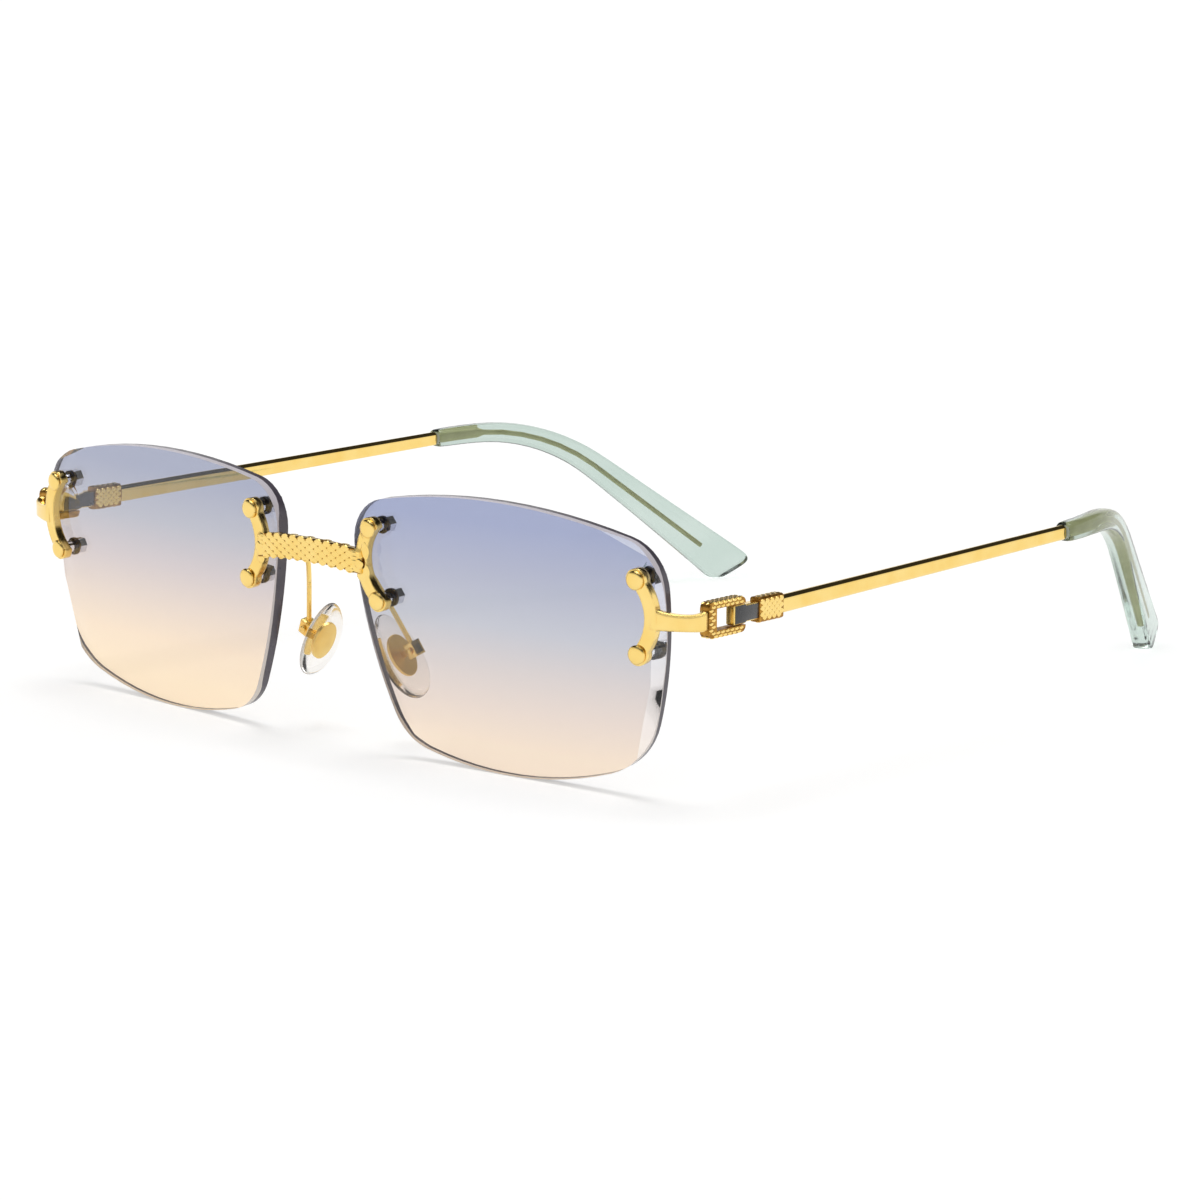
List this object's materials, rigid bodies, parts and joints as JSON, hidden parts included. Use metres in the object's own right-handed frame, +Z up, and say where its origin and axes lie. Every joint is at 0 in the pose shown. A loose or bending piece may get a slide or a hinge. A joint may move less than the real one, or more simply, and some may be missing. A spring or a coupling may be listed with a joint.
{
  "type": "rimless eyeglasses",
  "caption": "Rimless sunglasses: graded tinted lenses screwed to a pebbled bridge and end pieces, with folding metal temples, acetate tips and rocking nose pads",
  "frame": {"origin": "middle of the bounding box on the table plane, where the open glasses stand on the lower edges of the lenses and on the flats of the temple tips", "axes": "+Z up; the lenses face -Y and the temples run back along +Y; +X is the wearer's left"},
  "size_m": [0.1396, 0.1534, 0.0403],
  "materials": {
    "gold": "polished gold plate, pebbled on the bridge, buckles and collars",
    "lens": "clear polished, tint graded from blue-grey at the top to peach at the bottom",
    "enamel": "gloss black enamel",
    "tip": "polished translucent acetate",
    "pad": "clear soft silicone",
    "nut": "polished",
    "washer": "matte",
    "bush": "clear"
  },
  "bodies": {
    "front": {"bridge": "gold", "buckle_left": "gold", "buckle_right": "gold", "end_piece_left": "gold", "end_piece_right": "gold", "hinge_screw_left": "gold", "hinge_screw_right": "gold", "lens_bush_left_inner_bottom": "bush", "lens_bush_left_inner_top": "bush", "lens_bush_left_outer_bottom": "bush", "lens_bush_left_outer_top": "bush", "lens_bush_right_inner_bottom": "bush", "lens_bush_right_inner_top": "bush", "lens_bush_right_outer_bottom": "bush", "lens_bush_right_outer_top": "bush", "lens_left": "lens", "lens_nut_left_inner_bottom": "nut", "lens_nut_left_inner_top": "nut", "lens_nut_left_outer_bottom": "nut", "lens_nut_left_outer_top": "nut", "lens_nut_right_inner_bottom": "nut", "lens_nut_right_inner_top": "nut", "lens_nut_right_outer_bottom": "nut", "lens_nut_right_outer_top": "nut", "lens_right": "lens", "lens_screw_left_inner_bottom": "gold", "lens_screw_left_inner_top": "gold", "lens_screw_left_outer_bottom": "gold", "lens_screw_left_outer_top": "gold", "lens_screw_right_inner_bottom": "gold", "lens_screw_right_inner_top": "gold", "lens_screw_right_outer_bottom": "gold", "lens_screw_right_outer_top": "gold", "lens_washer_left_inner_bottom": "washer", "lens_washer_left_inner_top": "washer", "lens_washer_left_outer_bottom": "washer", "lens_washer_left_outer_top": "washer", "lens_washer_right_inner_bottom": "washer", "lens_washer_right_inner_top": "washer", "lens_washer_right_outer_bottom": "washer", "lens_washer_right_outer_top": "washer", "pad_arm_left": "gold", "pad_arm_right": "gold", "pad_screw_left": "gold", "pad_screw_right": "gold"},
    "temple_left": {"collar_left": "gold", "link_left": "enamel", "temple_bar_left": "gold", "temple_tip_left": "tip"},
    "temple_right": {"collar_right": "gold", "link_right": "enamel", "temple_bar_right": "gold", "temple_tip_right": "tip"},
    "pad_left": {"nose_pad_left": "pad", "pad_insert_left": "gold"},
    "pad_right": {"nose_pad_right": "pad", "pad_insert_right": "gold"}
  },
  "joints": [
    {"name": "temple_left_hinge", "type": "hinge", "parent": "front", "child": "temple_left", "pos_m": [0.06879, -0.0598, 0.02678], "axis": [0, 0, 1], "range_deg": [0, 80]},
    {"name": "temple_right_hinge", "type": "hinge", "parent": "front", "child": "temple_right", "pos_m": [-0.06879, -0.0598, 0.02678], "axis": [0, 0, -1], "range_deg": [0, 68]},
    {"name": "nose_pad_left_rock", "type": "hinge", "parent": "front", "child": "pad_left", "pos_m": [0.0116, -0.06466, 0.0147], "axis": [0.047, -0.9801, -0.1929], "range_deg": [-8, 8]},
    {"name": "nose_pad_right_rock", "type": "hinge", "parent": "front", "child": "pad_right", "pos_m": [-0.0116, -0.06466, 0.0147], "axis": [0.047, 0.9801, 0.1929], "range_deg": [-8, 8]}
  ]
}
